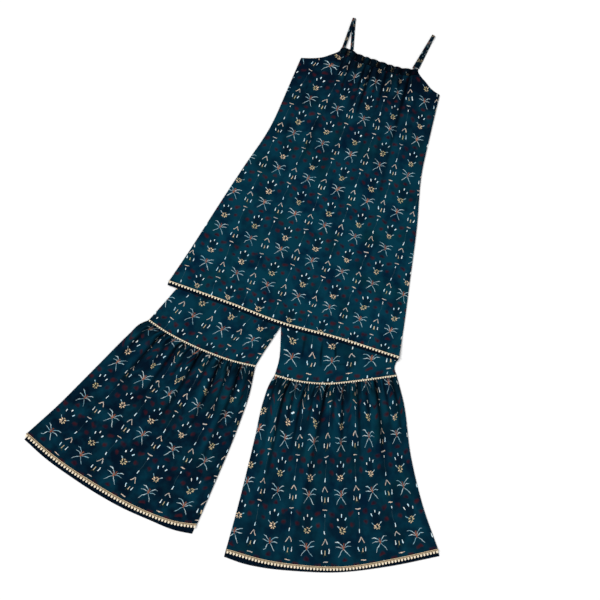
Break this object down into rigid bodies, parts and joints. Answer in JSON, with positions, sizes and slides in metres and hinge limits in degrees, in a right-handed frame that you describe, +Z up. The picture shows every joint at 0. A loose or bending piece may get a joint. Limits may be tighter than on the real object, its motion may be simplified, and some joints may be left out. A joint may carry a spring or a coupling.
{
  "type": "sharara suit",
  "caption": "Strappy A-line kameez laid flat over flared sharara trousers, with gold lace edging on its hems and knee seams.",
  "frame": {"origin": "middle of the suit's box, on the surface that it lies on", "axes": "+Y up the kameez's centre line from its hem to its neck, +X to the right as seen from above, +Z up"},
  "size_m": [1.3332, 1.7424, 0.0101],
  "materials": {
    "printed_cloth": "printed, matt",
    "cloth_wrong_side": "plain, matt",
    "gold_edging": "metallic thread"
  },
  "bodies": {
    "root": {"kameez_front": "printed_cloth", "neck_casing": "printed_cloth", "strap_left": "printed_cloth", "strap_right": "printed_cloth", "waistband_front": "printed_cloth", "thigh_front_left": "printed_cloth", "thigh_front_right": "printed_cloth", "flare_front_left": "printed_cloth", "flare_front_right": "printed_cloth", "kameez_back": "cloth_wrong_side", "waistband_back": "cloth_wrong_side", "thigh_back_left": "cloth_wrong_side", "thigh_back_right": "cloth_wrong_side", "flare_back_left": "cloth_wrong_side", "flare_back_right": "cloth_wrong_side", "kameez_hem_trim": "gold_edging", "knee_trim_left": "gold_edging", "knee_trim_right": "gold_edging", "flare_hem_trim_left": "gold_edging", "flare_hem_trim_right": "gold_edging"}
  },
  "joints": []
}
